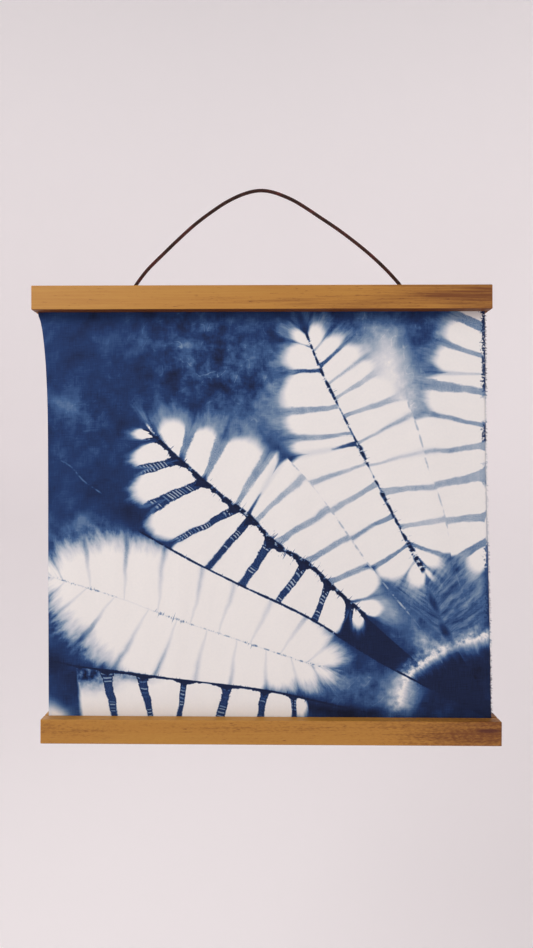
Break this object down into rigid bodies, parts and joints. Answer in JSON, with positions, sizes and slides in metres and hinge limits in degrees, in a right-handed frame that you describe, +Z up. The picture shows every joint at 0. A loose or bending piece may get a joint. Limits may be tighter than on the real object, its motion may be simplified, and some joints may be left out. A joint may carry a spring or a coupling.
{
  "type": "shibori dyed cloth with hanger bars",
  "caption": "Indigo stitch-resist dyed cloth with white leaf forms, clamped between wooden hanger bars and hung on a brown cord.",
  "frame": {"origin": "underside of the hanging cord at its highest point, where a nail or hook carries it", "axes": "+X to the right seen from the front, +Y from the front towards the wall, +Z up"},
  "size_m": [0.3877, 0.02, 0.4657],
  "materials": {
    "indigo_cloth": "matt plain-weave cotton, indigo with white resist-dyed leaf forms",
    "wood": "oiled golden brown wood with fine grain along the bar",
    "cord_brown": "dark brown braided cord with a low sheen"
  },
  "bodies": {
    "root": {"cloth": "indigo_cloth", "top_bar_front": "wood", "top_bar_back": "wood", "bottom_bar_front": "wood", "bottom_bar_back": "wood", "cord": "cord_brown"}
  },
  "joints": []
}
